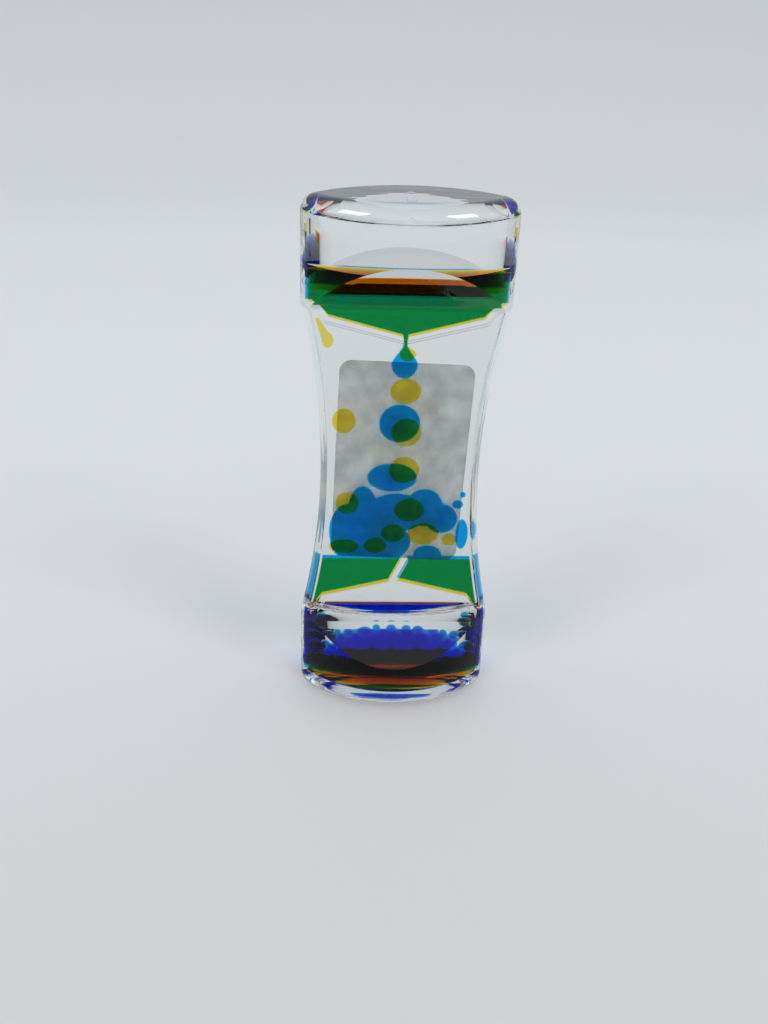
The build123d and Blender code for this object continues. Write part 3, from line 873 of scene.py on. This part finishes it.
def set_ramp(ramp, tones):
    """Puts one colour at each spot of a colour ramp."""
    while len(ramp.elements) < len(tones):
        ramp.elements.new(0.5)
    for stop, (spot, colour) in zip(ramp.elements, tones.items()):
        stop.position = spot
        stop.color = (*colour, 1)


paper_label = bpy.data.materials.new("damp_paper")
paper_label.use_nodes = True
tree = paper_label.node_tree
place = tree.nodes.new("ShaderNodeTexCoord")
blotches = tree.nodes.new("ShaderNodeTexNoise")
blotches.inputs["Scale"].default_value = BLOTCH_SCALE
blotches.inputs["Detail"].default_value = BLOTCH_DETAIL
tone = tree.nodes.new("ShaderNodeValToRGB")
set_ramp(tone.color_ramp, BLOTCH_TONES)
shader = tree.nodes["Principled BSDF"]
shader.inputs["Roughness"].default_value = LABEL_ROUGHNESS
shader.inputs["Alpha"].default_value = LABEL_COVER
tree.links.new(place.outputs["Object"], blotches.inputs["Vector"])
tree.links.new(blotches.outputs["Fac"], tone.inputs["Fac"])
tree.links.new(tone.outputs["Color"], shader.inputs["Base Color"])
bm = merged_copy("rear_label")
clean(bm)
sheet = stands_for(piece("rear_label_sheet", bm, paper_label), "label", "timer", "rear_label")
print(sheet.name, len(sheet.data.polygons))

# %% [markdown]
# ## Floor and backdrop
# A pale sheet lies under the timer and runs up into a backdrop through a wide bend, so no corner shows. It is
# a grid of one face, whose rear edge is pulled up and rounded.

# %% Bent sheet of studio paper
STAGE_NEAR, STAGE_BACK, STAGE_SIDE = -3.0, 1.4, 3.0
STAGE_HEIGHT = 2.5
STAGE_BEND = 0.8
STAGE_STEPS = 16
AIR_GAP = 0.25 * MM
bm = bmesh.new()
bmesh.ops.create_grid(bm, x_segments=1, y_segments=1, size=1)
for vert in bm.verts:
    vert.co = (vert.co.x * STAGE_SIDE, STAGE_BACK if vert.co.y > 0 else STAGE_NEAR, -AIR_GAP)
back = [e for e in bm.edges if all(v.co.y > 0 for v in e.verts)]
wall = bmesh.ops.extrude_edge_only(bm, edges=back)
raised = [g for g in wall["geom"] if isinstance(g, bmesh.types.BMVert)]
bmesh.ops.translate(bm, verts=raised, vec=(0, 0, STAGE_HEIGHT))
bmesh.ops.bevel(
    bm, geom=back, offset=STAGE_BEND, affect="EDGES", segments=STAGE_STEPS, profile=0.5, material=-1
)
bmesh.ops.recalc_face_normals(bm, faces=bm.faces)
for face in bm.faces:
    face.smooth = True
paper = bpy.data.materials.new("studio_paper")
floor = piece("studio_floor", bm, paper)
floor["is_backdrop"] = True
print(floor.name, len(floor.data.polygons))

# %% [markdown]
# ## Painted light on the paper
# The tone changes slowly along the sheet, from the near floor to the top of the backdrop. This is painted
# light: darker on the near floor, brightest a little behind the timer and darker again towards the backdrop.
# Rays that have come through the timer see the paper glow at a set brightness, a painted glow with no lamp or
# shadow on it, so the clear plastic shows pale paper right down to the foot. Mirror images of the floor in
# front get a painted dark shade, as in a room that is darker behind the camera. These are choices for this
# stage, and the timer's own finishes have no part in them.

# %% Paper finish with painted light
PAPER_ROUGHNESS = 0.7
PAPER_GLOSS = 0.2
PAPER_SPAN = (-0.35, 2.6)
# Painted light: the sheet is darker on the near floor, brightest a little behind the timer and darker again
# towards the backdrop.
PAPER_PAINTED_LIGHT_TONES = {
    0: (0.67, 0.68, 0.69), 0.09: (0.715, 0.73, 0.74), 0.13: (0.785, 0.80, 0.82),
    0.18: (0.845, 0.865, 0.885), 0.27: (0.88, 0.90, 0.93), 0.62: (0.68, 0.695, 0.715)
}
# Painted glow: the strength at which rays that come through the timer see the paper shine, with no lamp or
# shadow on it.
SEEN_THROUGH_PAINTED_GLOW = 0.77
FRONT_EDGE = 0.05
# Painted shade: the colour that the floor in front takes in mirror images.
MIRROR_PAINTED_SHADE = (0.07, 0.07, 0.075, 1)
BLACK = (0, 0, 0, 1)
MIX_A, MIX_B, MIX_COLOUR = 6, 7, 2
paper.use_nodes = True
tree = paper.node_tree
shader = tree.nodes["Principled BSDF"]
shader.inputs["Roughness"].default_value = PAPER_ROUGHNESS
shader.inputs["Specular IOR Level"].default_value = PAPER_GLOSS
shader.inputs["Emission Strength"].default_value = SEEN_THROUGH_PAINTED_GLOW
place = tree.nodes.new("ShaderNodeTexCoord")
split = tree.nodes.new("ShaderNodeSeparateXYZ")
along = tree.nodes.new("ShaderNodeMath")
along.operation = "ADD"
span = tree.nodes.new("ShaderNodeMapRange")
span.inputs["From Min"].default_value = PAPER_SPAN[0]
span.inputs["From Max"].default_value = PAPER_SPAN[1]
# Ramp of the painted light along the sheet.
tone = tree.nodes.new("ShaderNodeValToRGB")
set_ramp(tone.color_ramp, PAPER_PAINTED_LIGHT_TONES)
path = tree.nodes.new("ShaderNodeLightPath")
mirrored = tree.nodes.new("ShaderNodeMath")
mirrored.operation = "SUBTRACT"
mirrored.use_clamp = True
front = tree.nodes.new("ShaderNodeMapRange")
front.inputs["From Min"].default_value = FRONT_EDGE
front.inputs["From Max"].default_value = -FRONT_EDGE
in_front = tree.nodes.new("ShaderNodeMath")
in_front.operation = "MULTIPLY"
seen = tree.nodes.new("ShaderNodeMix")
seen.data_type = "RGBA"
seen.inputs[MIX_B].default_value = MIRROR_PAINTED_SHADE
lit = tree.nodes.new("ShaderNodeMix")
lit.data_type = "RGBA"
lit.inputs[MIX_B].default_value = BLACK
glow = tree.nodes.new("ShaderNodeMix")
glow.data_type = "RGBA"
glow.inputs[MIX_A].default_value = BLACK
tree.links.new(place.outputs["Object"], split.inputs[0])
tree.links.new(split.outputs["Y"], along.inputs[0])
tree.links.new(split.outputs["Z"], along.inputs[1])
tree.links.new(along.outputs[0], span.inputs["Value"])
tree.links.new(span.outputs["Result"], tone.inputs["Fac"])
# Painted shade for mirror images of the floor in front.
tree.links.new(path.outputs["Is Glossy Ray"], mirrored.inputs[0])
tree.links.new(path.outputs["Is Transmission Ray"], mirrored.inputs[1])
tree.links.new(split.outputs["Y"], front.inputs["Value"])
tree.links.new(mirrored.outputs[0], in_front.inputs[0])
tree.links.new(front.outputs["Result"], in_front.inputs[1])
tree.links.new(in_front.outputs[0], seen.inputs["Factor"])
tree.links.new(tone.outputs["Color"], seen.inputs[MIX_A])
tree.links.new(path.outputs["Is Transmission Ray"], lit.inputs["Factor"])
tree.links.new(seen.outputs[MIX_COLOUR], lit.inputs[MIX_A])
tree.links.new(lit.outputs[MIX_COLOUR], shader.inputs["Base Color"])
# Painted glow for rays that come through the timer.
tree.links.new(path.outputs["Is Transmission Ray"], glow.inputs["Factor"])
tree.links.new(tone.outputs["Color"], glow.inputs[MIX_B])
tree.links.new(glow.outputs[MIX_COLOUR], shader.inputs["Emission Color"])
print(paper.name, "nodes", len(tree.nodes))

# %% [markdown]
# ## Light
# Two soft lamps stand left and right in front, and an even, slightly cool sky fills in.

# %% Sky and lamps
SKY_TINT = (0.96, 0.98, 1.0, 1)
SKY_STRENGTH = 0.66
LAMP_SIDE = 0.9
LAMP_FRONT, LAMP_HEIGHT = -0.7, 1.1
LAMP_AIM = (0, 0, 0.05)
LAMP_SIZE = 0.5
LAMP_POWER = 5
world = bpy.data.worlds.new("studio_sky")
bpy.context.scene.world = world
world.use_nodes = True
world.node_tree.nodes["Background"].inputs["Color"].default_value = SKY_TINT
world.node_tree.nodes["Background"].inputs["Strength"].default_value = SKY_STRENGTH


def softbox(name, place, aim, width, power):
    """A square soft lamp that faces a point."""
    data = bpy.data.lights.new(name, "AREA")
    data.shape = "SQUARE"
    data.size = width
    data.energy = power
    lamp = bpy.data.objects.new(name, data)
    bpy.context.scene.collection.objects.link(lamp)
    lamp.location = place
    lamp.rotation_euler = (Vector(aim) - Vector(place)).to_track_quat("-Z", "Y").to_euler()
    return lamp


for name, x in (("left_lamp", -LAMP_SIDE), ("right_lamp", LAMP_SIDE)):
    lamp = softbox(name, (x, LAMP_FRONT, LAMP_HEIGHT), LAMP_AIM, LAMP_SIZE, LAMP_POWER)
    print(lamp.name, "power", lamp.data.energy)

# %% [markdown]
# ## Camera
# The camera stands about where the photo was taken from: in front, a little to the left, and looking down.
# Its place, roll and focal length were worked out from the timer's outline. Light crosses many clear
# faces, one behind the other, so rays may bend far more often than Blender's default allows.

# %% Camera and ray depth
CAMERA_PLACE = Vector((-0.018079, -0.253153, 0.193244))
CAMERA_TARGET = Vector((-0.003562, 0, 0.053918))
CAMERA_ROLL = math.radians(2.137)
PHOTO_TALL = 1024
FOCUS_PIXELS = 1120
SENSOR_MM = 36
NEAREST = 0.01
CLEAR_BOUNCES, SHADOW_BOUNCES, MIRROR_BOUNCES = 128, 64, 32
lens = bpy.data.cameras.new("camera")
lens.sensor_fit = "VERTICAL"
lens.sensor_height = SENSOR_MM
lens.lens = FOCUS_PIXELS * lens.sensor_height / PHOTO_TALL
lens.clip_start = NEAREST
camera = bpy.data.objects.new("camera", lens)
bpy.context.scene.collection.objects.link(camera)
aim = (CAMERA_TARGET - CAMERA_PLACE).to_track_quat("-Z", "Y").to_matrix()
turned = aim @ Matrix.Rotation(CAMERA_ROLL, 3, "Z")
camera.matrix_world = Matrix.Translation(CAMERA_PLACE) @ turned.to_4x4()
bpy.context.scene.camera = camera

scene = bpy.context.scene
scene.view_settings.view_transform = "Standard"
scene.cycles.max_bounces = CLEAR_BOUNCES
scene.cycles.transmission_bounces = CLEAR_BOUNCES
scene.cycles.transparent_max_bounces = SHADOW_BOUNCES
scene.cycles.glossy_bounces = MIRROR_BOUNCES
print("lens in mm", round(lens.lens, 1))

# %% Bounds of the scene at the end
low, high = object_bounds()
